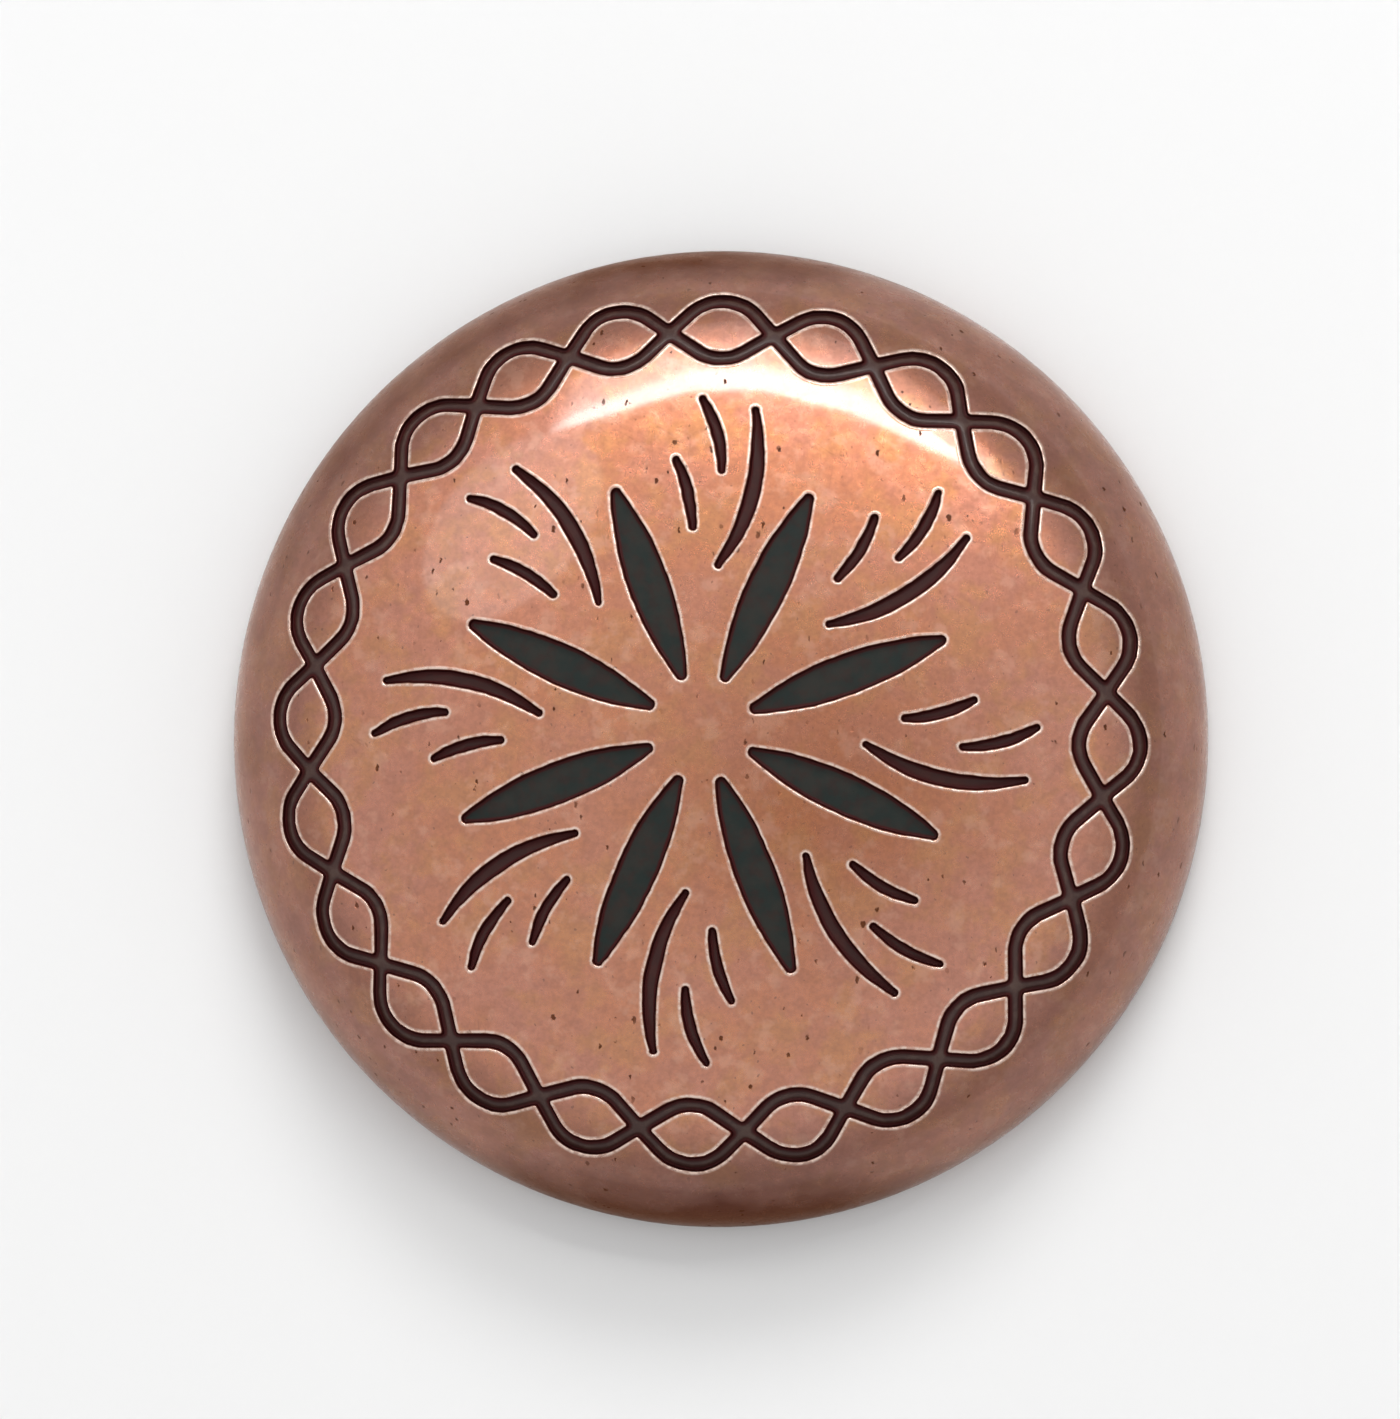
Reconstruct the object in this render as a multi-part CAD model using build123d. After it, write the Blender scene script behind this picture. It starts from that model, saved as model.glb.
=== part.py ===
from build123d import *
import os
from collections import namedtuple
from math import acos, atan2, cos, degrees, pi, radians, sin, tan

# A round domed concho in antiqued copper, face up.
# The origin is the centre of the rim's underside, and +Z runs up through the dome. Lengths are millimetres.

# Domed shell
dome_diameter = 32.0
rim_band_height = 0.5       # straight band round the foot of the dome
dome_rise = 6.4             # from the top of the band to the middle of the crown
edge_radius = 5.0           # rolled edge between the band and the crown
wall_thickness = 1.6
rim_rounding = 0.2          # both corners of the flat rim that the concho stands on

# Engraving, sunk into the face
engraving_depth = 0.35
border_inset = 3.0          # from the outside of the rim in to the middle of the border
border_pitch = 6.8          # one wave of either line, along the border's middle
border_swing = 0.96         # how far each line swings to either side of the border's middle
border_slant = 39           # degrees between a line and the border's run, where the lines cross
border_groove_width = 0.46
rosette_margin = 1.24       # from the border's inmost reach to the tips of the strokes

# Rosette: eight petals, and between them eight groups of three strokes
group_count = 8
petal_width = 1.32
petal_end_width = 0.36
long_stroke_width = 0.5
short_stroke_width = 0.37
stroke_end_width = 0.2

# Black enamel on the floor of the engraving
enamel_thickness = 0.12
enamel_clearance = 0.02     # to the floor and to the walls of the engraving

# Screw post in its socket behind the crown
post_radius = 3.0
post_recess = 0.4           # mouth of the post, above the plane of the rim
thread_radius = 2.08        # wall of the threaded hole, for a number 8 screw
post_web = 0.9              # solid metal over the end of the threaded hole
mouth_chamfer = 0.2
socket_clearance = 0.05     # round the post and over its end
socket_wall = 1.5
socket_depth = 1.6

# Sizes that follow from these
dome_radius = dome_diameter / 2
dome_top = rim_band_height + dome_rise
edge_centre_radius = dome_radius - edge_radius
crown_radius = (edge_centre_radius**2 + dome_rise**2 - edge_radius**2) / (2 * (dome_rise - edge_radius))
crown_centre_height = dome_top - crown_radius
border_radius = dome_radius - border_inset
rosette_radius = border_radius - border_swing - rosette_margin
border_waves = round(2 * pi * border_radius / border_pitch)
crest_step = 180 / border_waves
hollow_top = dome_top - wall_thickness
post_top = hollow_top - socket_clearance
thread_length = post_top - post_web - post_recess

# Every mark is a leaf: two long arcs from a root near the middle to a tip, bowed sideways.
# Radii and bows are shares of rosette_radius. Angles are degrees from the group's own axis,
# anticlockwise as seen from above, and a bow leans clockwise.
Leaf = namedtuple("Leaf", "root_radius root_angle tip_radius tip_angle bow width end_width")
half_group = 180 / group_count
petal = Leaf(0.154, half_group, 0.770, half_group, 0.0, petal_width, petal_end_width)
strokes = (
    Leaf(0.479, -3.4, 0.977, -6.9, 0.049, long_stroke_width, stroke_end_width),
    Leaf(0.764, -2.1, 1.000, 2.6, 0.016, short_stroke_width, stroke_end_width),
    Leaf(0.591, 4.8, 0.821, 8.2, 0.012, short_stroke_width, stroke_end_width),
)


def polar_point(radius, angle):
    return Vector(radius * cos(radians(angle)), radius * sin(radians(angle)))


# Bends of the border's lines: their radius, and the turn from a crest to the start of the straight run
slant = radians(border_slant)
bend_radius = (border_pitch / 4 * tan(slant) - border_swing) / (1 / cos(slant) - 1)
crest_gap = polar_point(border_radius - border_swing + bend_radius, crest_step)
crest_gap -= polar_point(border_radius + border_swing - bend_radius, 0)
bend_sweep = degrees(atan2(crest_gap.Y, crest_gap.X) - acos(2 * bend_radius / crest_gap.length))


# Solid dome whose face lies the given depth inside the outer face, standing on the plane of the rim
def dome_solid(depth):
    radius = dome_radius - depth
    top = dome_top - depth
    join_share = (crown_radius - depth) / (crown_radius - edge_radius)
    join_radius = edge_centre_radius * join_share
    join_height = crown_centre_height + (rim_band_height - crown_centre_height) * join_share
    outline = [
        Line((0, 0), (radius, 0)),
        Line((radius, 0), (radius, rim_band_height)),
        RadiusArc((radius, rim_band_height), (join_radius, join_height), -(edge_radius - depth)),
        RadiusArc((join_radius, join_height), (0, top), -(crown_radius - depth)),
        Line((0, top), (0, 0)),
    ]
    return revolve(Plane.XZ * make_face(outline), Axis.Z)


# Flat outline of one leaf of the group on the X axis, drawn in from its sides by the given clearance
def leaf_face(leaf, clearance):
    root = polar_point(leaf.root_radius * rosette_radius, leaf.root_angle)
    tip = polar_point(leaf.tip_radius * rosette_radius, leaf.tip_angle)
    along = (tip - root).normalized()
    across = Vector(along.Y, -along.X)
    middle = (root + tip) / 2 + across * leaf.bow * rosette_radius
    half_width = leaf.width / 2 - clearance
    half_end = leaf.end_width / 2 - clearance
    root = root + along * leaf.end_width / 2
    tip = tip - along * leaf.end_width / 2
    outline = [
        ThreePointArc(root + across * half_end, middle + across * half_width, tip + across * half_end),
        ThreePointArc(tip + across * half_end, tip + along * half_end, tip - across * half_end),
        ThreePointArc(tip - across * half_end, middle - across * half_width, root - across * half_end),
        ThreePointArc(root - across * half_end, root - along * half_end, root + across * half_end),
    ]
    return make_face(outline)


# Face inside one line of the border, or inside a curve that runs beside the line at the given offset.
# The line bends round an outer crest and an inner crest by turns, and runs straight between them.
def border_area(first_crest, offset):
    edges = []
    for crest in range(first_crest, first_crest + 2 * border_waves):
        outward = (crest - first_crest) % 2 == 0
        side = 1 if outward else -1
        turn = crest * crest_step
        facing = turn if outward else turn + 180
        centre = polar_point(border_radius + side * (border_swing - bend_radius), turn)
        sweep = side * (bend_sweep - (0 if outward else crest_step))
        radius = bend_radius + side * offset
        bend = [centre + polar_point(radius, facing + way * sweep) for way in (-1, 0, 1)]
        if edges:
            edges.append(Line(edges[-1] @ 1, bend[0]))
        edges.append(ThreePointArc(*bend))
    edges.append(Line(edges[-1] @ 1, edges[0] @ 0))
    return make_face(edges)


# The border: two wavy grooves that cross each other between their crests
def border_face(clearance):
    half_width = border_groove_width / 2 - clearance
    lines = [border_area(crest, half_width) - border_area(crest, -half_width) for crest in (0, 1)]
    return lines[0] + lines[1]


# Solids of the whole ornament: upright prisms, each worked on by trim.
# The leaves of one group are made once and turned into the other groups.
def ornament(clearance, trim):
    border = trim(extrude(border_face(clearance), dome_top))
    group = [trim(extrude(leaf_face(leaf, clearance), dome_top)) for leaf in (petal, *strokes)]
    turns = [Rot(0, 0, 360 * number / group_count) for number in range(group_count)]
    return [border] + [turn * leaf for turn in turns for leaf in group]


def dome_shell():
    boss_radius = post_radius + socket_clearance + socket_wall
    socket_mouth = Pos(0, 0, hollow_top - socket_depth)
    boss = socket_mouth * extrude(Circle(boss_radius), socket_depth + wall_thickness)
    socket = socket_mouth * extrude(Circle(post_radius + socket_clearance), socket_depth)
    shell = dome_solid(0) - (dome_solid(wall_thickness) - boss) - socket
    rim_corners = shell.edges().filter_by(GeomType.CIRCLE).group_by(Axis.Z)[0]
    shell = fillet(rim_corners, rim_rounding)
    floor = dome_solid(engraving_depth)
    return shell - ornament(0, lambda prism: prism - floor)


def black_enamel():
    lower = engraving_depth - enamel_clearance
    layer = dome_solid(lower - enamel_thickness) - dome_solid(lower)
    pieces = ornament(enamel_clearance, lambda prism: prism & layer)
    return Compound([solid for piece in pieces for solid in piece.solids()])


def screw_post():
    mouth = Pos(0, 0, post_recess)
    post = mouth * extrude(Circle(post_radius) - Circle(thread_radius), thread_length)
    post += mouth * Pos(0, 0, thread_length) * extrude(Circle(post_radius), post_web)
    mouth_corners = post.edges().group_by(Axis.Z)[0]
    return chamfer(mouth_corners, mouth_chamfer)


os.makedirs("parts", exist_ok=True)
parts = {"dome_shell": dome_shell(), "black_enamel": black_enamel(), "screw_post": screw_post()}
for name, part in parts.items():
    export_step(part, f"parts/{name}.step")
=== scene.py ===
import bmesh
import bpy
from math import acos, asin, atan2, cos, degrees, pi, radians, sin, sqrt, tan
from mathutils import Euler, Matrix, Vector
from mathutils.geometry import intersect_line_line
from mathutils.noise import noise_vector, seed_set


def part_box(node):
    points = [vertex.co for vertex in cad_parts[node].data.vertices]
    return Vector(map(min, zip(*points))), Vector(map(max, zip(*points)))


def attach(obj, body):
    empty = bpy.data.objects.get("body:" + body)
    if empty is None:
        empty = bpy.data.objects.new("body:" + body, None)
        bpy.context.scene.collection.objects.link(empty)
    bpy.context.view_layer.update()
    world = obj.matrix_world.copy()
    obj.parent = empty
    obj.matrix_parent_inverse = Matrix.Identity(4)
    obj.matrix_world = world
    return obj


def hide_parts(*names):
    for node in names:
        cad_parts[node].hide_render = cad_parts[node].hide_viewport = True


# An antiqued copper concho, lying face up on a pale table.
# Shapes are worked out in millimetres, and scaled to metres when their object is made.
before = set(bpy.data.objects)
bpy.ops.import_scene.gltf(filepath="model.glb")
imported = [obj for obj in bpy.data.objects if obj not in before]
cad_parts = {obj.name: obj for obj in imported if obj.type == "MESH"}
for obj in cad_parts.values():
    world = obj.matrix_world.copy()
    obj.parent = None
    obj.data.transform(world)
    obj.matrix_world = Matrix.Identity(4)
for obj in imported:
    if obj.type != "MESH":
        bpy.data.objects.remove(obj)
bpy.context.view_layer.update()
mm = 0.001
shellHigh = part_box("dome_shell")[1]
postLow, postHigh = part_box("screw_post")
print("frame loaded:", ", ".join(sorted(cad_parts)))


# Small helpers

def polarPoint(radius, angle):
    return Vector((radius * cos(radians(angle)), radius * sin(radians(angle))))


def turned(points, angle):   # the same points, turned about the middle of the concho
    turn = Matrix.Rotation(radians(angle), 2)
    return [turn @ point for point in points]


def facesOf(parts):
    return [part for part in parts if isinstance(part, bmesh.types.BMFace)]


def edgesOf(parts):
    return [part for part in parts if isinstance(part, bmesh.types.BMEdge)]


def vertsOf(parts):
    return [part for part in parts if isinstance(part, bmesh.types.BMVert)]


# The dome's form: a flat crown that rolls over into a short straight band

domeShape = {
    "radius": shellHigh.x / mm,
    "height": shellHigh.z / mm,
    "bandHeight": 0.5,
    "edgeRadius": 5.0,       # of the roll between the crown and the band
    "wall": 1.6,
    "rimRounding": 0.2,
    "skinRadius": 14.45,     # the engraved skin ends here, and plain rings carry on down the edge
    "skinCorners": 128,      # corners of the skin's outer circle
    "gridStep": 0.6,         # the skin is cut this finely before it is bent to the dome
    "cutSnap": 1e-4,         # points this near to a cut count as on it
    "wander": [(1.1, 0.03), (0.25, 0.02)],   # pitch and reach of the hand-cut lines' strays from true
    "wanderSeed": 8,
    "bossRadius": 4.55,      # the socket boss behind the crown
    "bossRounding": 0.25,
    "filletStart": 95,       # degrees, where the boss's fillet leaves the sloping roof of the hollow
    "socketRadius": 3.05,
    "socketDepth": 1.6,
    "rollSteps": 12,
    "rimSteps": 5,
    "bossSteps": 4,
    "socketSteps": 3,
    "sharpAngle": 50,        # degrees between two faces, past which their edge is shaded sharp
}
edgeRadius = domeShape["edgeRadius"]
edgeCentre = domeShape["radius"] - edgeRadius
rise = domeShape["height"] - domeShape["bandHeight"]
crownRadius = (edgeCentre**2 + rise**2 - edgeRadius**2) / (2 * (rise - edgeRadius))
crownCentre = domeShape["height"] - crownRadius
joinRadius = edgeCentre * crownRadius / (crownRadius - edgeRadius)   # where the crown meets the roll
joinSlope = degrees(asin(joinRadius / crownRadius))


def faceHeight(radius):
    if radius < joinRadius:
        return crownCentre + sqrt(crownRadius**2 - radius**2)
    return domeShape["bandHeight"] + sqrt(max(0, edgeRadius**2 - (radius - edgeCentre)**2))


def faceNormal(point):
    flat = Vector((point.x, point.y, 0))
    height = faceHeight(flat.length)
    if flat.length < joinRadius:
        return (flat + Vector((0, 0, height - crownCentre))).normalized()
    out = flat * (1 - edgeCentre / flat.length)
    return (out + Vector((0, 0, height - domeShape["bandHeight"]))).normalized()


seed_set(domeShape["wanderSeed"])   # without it the strays would differ from run to run


def bendToDome(bm):   # a point's height above the flat sheet becomes its distance from the dome's face
    for vert in bm.verts:
        flat = Vector((vert.co.x, vert.co.y, 0))
        for pitch, reach in domeShape["wander"]:
            vert.co.xy += noise_vector(flat / pitch).xy * reach
        vert.co.z = faceHeight(vert.co.xy.length) + vert.co.z / faceNormal(vert.co).z


def arcStations(centre, reach, start, end, steps):
    return [centre + polarPoint(reach, start + (end - start) * step / steps) for step in range(steps + 1)]


# The engraving: outlines in the flat, seen from above

engraving = {
    "borderInset": 3.0,        # from the rim in to the middle of the border
    "borderPitch": 6.8,
    "borderSwing": 0.96,
    "borderSlant": 39,         # degrees between the lines and the border's run, at their crossings
    "borderWidth": 0.46,
    "cornerRounding": 0.1,     # of the metal's points between crossing lines
    "sharpestCorner": 0.02,
    "rosetteMargin": 1.24,
    "groups": 8,
    "bendSteps": 14,
    "cornerSteps": 3,
    "leafSteps": 28,
    "tipSteps": 6,
    # root and tip: share of the rosette's radius, and angle from the group's axis
    # bow: share of the rosette's radius, sideways, and end: width at the root and at the tip
    "petals": [
        {"root": (0.154, 22.5), "tip": (0.770, 22.5), "bow": 0.0, "width": 1.32, "end": 0.36},
    ],
    "strokes": [
        {"root": (0.479, -3.4), "tip": (0.977, -6.9), "bow": 0.049, "width": 0.5, "end": 0.24},
        {"root": (0.764, -2.1), "tip": (1.000, 2.6), "bow": 0.016, "width": 0.37, "end": 0.24},
        {"root": (0.591, 4.8), "tip": (0.821, 8.2), "bow": 0.012, "width": 0.37, "end": 0.24},
    ],
}
borderRadius = domeShape["radius"] - engraving["borderInset"]
borderCrests = 2 * round(2 * pi * borderRadius / engraving["borderPitch"])
crestStep = 360 / borderCrests
rosetteRadius = borderRadius - engraving["borderSwing"] - engraving["rosetteMargin"]
slant = radians(engraving["borderSlant"])
bendRadius = (engraving["borderPitch"] / 4 * tan(slant) - engraving["borderSwing"]) / (1 / cos(slant) - 1)
crestGap = polarPoint(borderRadius - engraving["borderSwing"] + bendRadius, crestStep)
crestGap -= polarPoint(borderRadius + engraving["borderSwing"] - bendRadius, 0)
bendSweep = degrees(atan2(crestGap.y, crestGap.x) - acos(2 * bendRadius / crestGap.length))


def arcThrough(first, middle, last, steps):   # middle is halfway along the arc; the last point is left out
    toMiddle = middle - first
    toLast = last - first
    toCentre = Vector((
        toLast.y * toMiddle.length_squared - toMiddle.y * toLast.length_squared,
        toMiddle.x * toLast.length_squared - toLast.x * toMiddle.length_squared,
    )) / (2 * (toMiddle.x * toLast.y - toMiddle.y * toLast.x))
    centre = first + toCentre
    start = first - centre
    halfway = middle - centre
    turn = 2 * atan2(start.x * halfway.y - start.y * halfway.x, start.dot(halfway))
    return [centre + Matrix.Rotation(turn * step / steps, 2) @ start for step in range(steps)]


def leafOutline(leaf, grow):
    root = polarPoint(leaf["root"][0] * rosetteRadius, leaf["root"][1])
    tip = polarPoint(leaf["tip"][0] * rosetteRadius, leaf["tip"][1])
    along = (tip - root).normalized()
    across = Vector((along.y, -along.x))
    middle = (root + tip) / 2 + across * leaf["bow"] * rosetteRadius
    sharpest = engraving["sharpestCorner"]
    reach = max(leaf["end"] / 2 + grow, sharpest)
    overshoot = reach - leaf["end"] / 2 - grow   # an outline far inside is shorter too
    inset = leaf["end"] / 2 + overshoot * (tip - root).length / (2 * (leaf["width"] - leaf["end"]))
    root = root + along * inset
    tip = tip - along * inset
    wide = across * max(leaf["width"] / 2 + grow, sharpest)
    narrow = across * reach
    point = along * reach
    outline = arcThrough(root + narrow, middle + wide, tip + narrow, engraving["leafSteps"])
    outline += arcThrough(tip + narrow, tip + point, tip - narrow, engraving["tipSteps"])
    outline += arcThrough(tip - narrow, middle - wide, root - narrow, engraving["leafSteps"])
    outline += arcThrough(root - narrow, root - point, root + narrow, engraving["tipSteps"])
    return outline


def leafOutlines(leaves, grow):
    turns = [360 / engraving["groups"] * group for group in range(engraving["groups"])]
    return [turned(leafOutline(leaf, grow), turn) for turn in turns for leaf in leaves]


def petalOutlines(grow):
    return leafOutlines(engraving["petals"], grow)


def strokeOutlines(grow):
    return leafOutlines(engraving["strokes"], grow)


# A line of the border round its crest at angle 0, moved outward by the offset
def borderBend(outward, offset):
    if outward:
        centre = Vector((borderRadius + engraving["borderSwing"] - bendRadius, 0))
        return arcStations(centre, bendRadius + offset, -bendSweep, bendSweep, engraving["bendSteps"])
    centre = Vector((borderRadius - engraving["borderSwing"] + bendRadius, 0))
    sweep = bendSweep - crestStep
    return arcStations(centre, bendRadius - offset, 180 + sweep, 180 - sweep, engraving["bendSteps"])


def runAfter(bend):   # two points of the straight run after a bend, along its tangent there
    last = bend[-1] - bend[-2]
    before = bend[-2] - bend[-3]
    ahead = last * (1 + 2 * last.dot(before) / last.length_squared) - before
    return bend[-1], bend[-1] + ahead


def meeting(line, other):
    points = [point.to_3d() for point in (*line, *other)]
    return intersect_line_line(*points)[0].xy


def roundedCorner(before, corner, after, rounding):
    start = corner + (before - corner).normalized() * rounding
    end = corner + (after - corner).normalized() * rounding
    shares = [step / engraving["cornerSteps"] for step in range(engraving["cornerSteps"] + 1)]
    return [start.lerp(corner, share).lerp(corner.lerp(end, share), share) for share in shares]


# The border's outline on its far and on its near side, then each lens between two crossings
def borderOutlines(grow):
    reach = engraving["borderWidth"] / 2 + grow
    rounding = max(engraving["cornerRounding"] - grow, engraving["sharpestCorner"])
    ray = Vector((0, 0)), polarPoint(borderRadius, crestStep / 2)
    turns = [crestStep * crest for crest in range(borderCrests)]
    outlines = []
    for bend in (borderBend(True, reach), borderBend(False, -reach)):
        nextStart = turned(bend, crestStep)[0]
        span = bend + roundedCorner(bend[-1], meeting(runAfter(bend), ray), nextStart, rounding)
        outlines.append([point for turn in turns for point in turned(span, turn)])
    far = borderBend(True, -reach)
    near = borderBend(False, reach)
    tip = roundedCorner(far[-1], meeting(runAfter(far), runAfter(near)), near[-1], rounding)
    otherTip = [Vector((point.x, -point.y)) for point in reversed(tip)]
    lens = far + tip + list(reversed(near)) + otherTip
    return outlines + [turned(lens, turn) for turn in turns]


# Rings of points that follow the outlines down into the metal

def startRings(bm, outlines, height):
    place = bm.verts.layers.int["place"]
    number = 0
    rings = []
    for outline in outlines:
        ring = []
        for point in outline:
            vert = bm.verts.new((point.x, point.y, height))
            vert[place] = number
            number += 1
            ring.append(vert)
        rings.append([bm.edges.new(pair) for pair in zip(ring, ring[1:] + ring[:1])])
    return rings


def extrudeOnce(bm, edges):   # the new points and the new edges between them
    grown = bmesh.ops.extrude_edge_only(bm, edges=edges)["geom"]
    verts = set(vertsOf(grown))
    return verts, [edge for edge in edgesOf(grown) if verts.issuperset(edge.verts)]


def growRings(bm, edges, outlines, height):   # extrudes the rings to the same points of new outlines
    place = bm.verts.layers.int["place"]
    points = [point for outline in outlines for point in outline]
    verts, grown = extrudeOnce(bm, edges)
    for vert in verts:
        vert.co = (*points[vert[place]], height)
    return grown


def growRound(bm, edges, stations):   # extrudes one round edge to each station, a radius and a height
    for radius, height in stations:
        verts, edges = extrudeOnce(bm, edges)
        for vert in verts:
            vert.co = (*(vert.co.xy.normalized() * radius), height)
    return edges


def fillRings(bm, edges):
    filled = bmesh.ops.triangle_fill(
        bm, use_beauty=True, use_dissolve=False, edges=edges, normal=(0, 0, 1),
    )
    return facesOf(filled["geom"])


def cutToGrid(bm, faces, step, reach):
    edges = {edge for face in faces for edge in face.edges}
    verts = {vert for face in faces for vert in face.verts}
    parts = [*verts, *edges, *faces]
    snap = domeShape["cutSnap"]
    lines = round(reach / step)
    for normal in (Vector((1, 0, 0)), Vector((0, 1, 0))):
        for line in range(-lines, lines):
            place = normal * (line + 0.5) * step
            cut = bmesh.ops.bisect_plane(bm, geom=parts, dist=snap, plane_co=place, plane_no=normal)
            parts = cut["geom"]
    return facesOf(parts)


def sharpen(bm, angle):
    for edge in bm.edges:
        if edge.is_manifold and edge.calc_face_angle() > radians(angle):
            edge.smooth = False


def makePiece(name, bm, replaced):
    for face in bm.faces:
        face.smooth = True
    mesh = bpy.data.meshes.new(name)
    bm.to_mesh(mesh)
    bm.free()
    # The engraved face is shaded like the plain dome. A zero normal leaves a point as it is.
    if "onFace" in mesh.attributes:
        onFace = [item.value for item in mesh.attributes["onFace"].data]
        normals = [faceNormal(vert.co) if onFace[vert.index] else Vector() for vert in mesh.vertices]
        mesh.normals_split_custom_set_from_vertices(normals)
    mesh.transform(Matrix.Scale(mm, 4))
    piece = bpy.data.objects.new(name, mesh)
    bpy.context.scene.collection.objects.link(piece)
    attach(piece, "root")
    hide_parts(replaced)
    print(f"{name}: {len(mesh.vertices)} vertices, {len(mesh.polygons)} faces")
    return piece


# The cast copper dome with its engraving

wellShape = {
    # out from the groove's wall, height over the face, share rubbed bright and painted as a highlight,
    # share of dark stain
    "steps": [
        (0.130, 0.0, 0.0, 0.0),
        (0.090, 0.003, 0.45, 0.0),
        (0.064, 0.006, 1.0, 0.0),
        (0.020, -0.004, 1.0, 0.0),
        (0.004, -0.026, 0.2, 0.8),
        (-0.010, -0.08, 0.0, 1.0),
        (-0.042, -0.21, 0.0, 1.0),
        (-0.050, -0.31, 0.0, 1.0),
        (-0.070, -0.35, 0.0, 1.0),
    ],
}


def sinkWells(bm, outlinesAt):
    wearAndHighlightLayer = bm.verts.layers.float["wearAndHighlight"]
    grimeLayer = bm.verts.layers.float["grime"]
    steps = wellShape["steps"]
    rings = startRings(bm, outlinesAt(steps[0][0]), steps[0][1])
    edges = [edge for ring in rings for edge in ring]
    for out, height, wearAndHighlight, grime in steps[1:]:
        edges = growRings(bm, edges, outlinesAt(out), height)
        for vert in {vert for edge in edges for vert in edge.verts}:
            vert[wearAndHighlightLayer] = wearAndHighlight
            vert[grimeLayer] = grime
    fillRings(bm, edges)
    return rings


def rimStations():   # down the rolled edge from the skin, and over the flat foot into the hollow
    rounding = domeShape["rimRounding"]
    steps = domeShape["rimSteps"]
    rollCentre = Vector((edgeCentre, domeShape["bandHeight"]))
    skinAngle = degrees(acos((domeShape["skinRadius"] - edgeCentre) / edgeRadius))
    stations = arcStations(rollCentre, edgeRadius, skinAngle, 0, domeShape["rollSteps"])[1:]
    footOut = domeShape["radius"] - rounding
    footIn = domeShape["radius"] - domeShape["wall"] + rounding
    stations += arcStations(Vector((footOut, rounding)), rounding, 0, -90, steps)
    stations += [Vector((footOut - rounding / 2, 0)), Vector((footIn + rounding / 2, 0))]
    stations += arcStations(Vector((footIn, rounding)), rounding, -90, -180, steps)
    return stations


def hollowStations():   # up the hollow and along its roof to the boss
    steps = domeShape["rollSteps"]
    innerEdge = edgeRadius - domeShape["wall"]
    innerCrown = crownRadius - domeShape["wall"]
    bossSlope = degrees(asin((domeShape["bossRadius"] + domeShape["bossRounding"]) / innerCrown))
    roofStart = 90 - joinSlope
    roofEnd = 90 - bossSlope
    stations = arcStations(Vector((edgeCentre, domeShape["bandHeight"])), innerEdge, 0, roofStart, steps)
    stations += arcStations(Vector((0, crownCentre)), innerCrown, roofStart, roofEnd, steps)[1:]
    return stations


def bossStations(roof):   # down the boss from the roof of the hollow, and up into the socket
    boss = domeShape["bossRadius"]
    fillet = domeShape["bossRounding"]
    steps = domeShape["bossSteps"]
    socket = domeShape["socketRadius"]
    socketEnd = domeShape["height"] - domeShape["wall"]
    mouth = socketEnd - domeShape["socketDepth"]
    mouthRounding = fillet / 2
    mouthCorner = Vector((socket + mouthRounding, mouth + mouthRounding))
    roofCorner = Vector((boss + fillet, roof - fillet))
    stations = arcStations(roofCorner, fillet, domeShape["filletStart"], 180, steps)
    stations += arcStations(Vector((boss - fillet, mouth + fillet)), fillet, 0, -90, steps)
    stations += [Vector((boss - fillet - mouthRounding, mouth)), Vector((socket + fillet, mouth))]
    stations += arcStations(mouthCorner, mouthRounding, -90, -180, domeShape["socketSteps"])
    stations += [Vector((socket, socketEnd)), Vector((socket / 2, socketEnd))]
    return stations


def makeDome():
    bm = bmesh.new()
    bm.verts.layers.int.new("place")
    onFace = bm.verts.layers.int.new("onFace")
    bm.verts.layers.float.new("wearAndHighlight")
    bm.verts.layers.float.new("grime")
    far, near, *lenses = sinkWells(bm, borderOutlines)
    leaves = sinkWells(bm, petalOutlines) + sinkWells(bm, strokeOutlines)
    corners = domeShape["skinCorners"]
    circle = [polarPoint(domeShape["skinRadius"], 360 * corner / corners) for corner in range(corners)]
    skirt = startRings(bm, [circle], 0)[0]
    skin = fillRings(bm, skirt + far)
    skin += fillRings(bm, [edge for ring in lenses for edge in ring])
    skin += fillRings(bm, near + [edge for ring in leaves for edge in ring])
    skin = cutToGrid(bm, skin, domeShape["gridStep"], domeShape["skinRadius"])
    skinVerts = {vert for face in skin for vert in face.verts}
    bendToDome(bm)
    edges = [edge for edge in bm.edges if edge.is_boundary]
    for vert in {vert for edge in edges for vert in edge.verts}:   # onto the true circle
        vert.co.xy = vert.co.xy.normalized() * domeShape["skinRadius"]
        vert.co.z = faceHeight(domeShape["skinRadius"])
    stations = rimStations() + hollowStations()
    stations += bossStations(stations[-1].y)
    edges = growRound(bm, edges, stations)
    bmesh.ops.holes_fill(bm, edges=edges, sides=0)
    for vert in skinVerts:
        vert[onFace] = 1
    bmesh.ops.recalc_face_normals(bm, faces=bm.faces)
    sharpen(bm, domeShape["sharpAngle"])
    return makePiece("dome", bm, "dome_shell")


# Black enamel in the engraving, drawn up a little where it meets the walls

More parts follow.
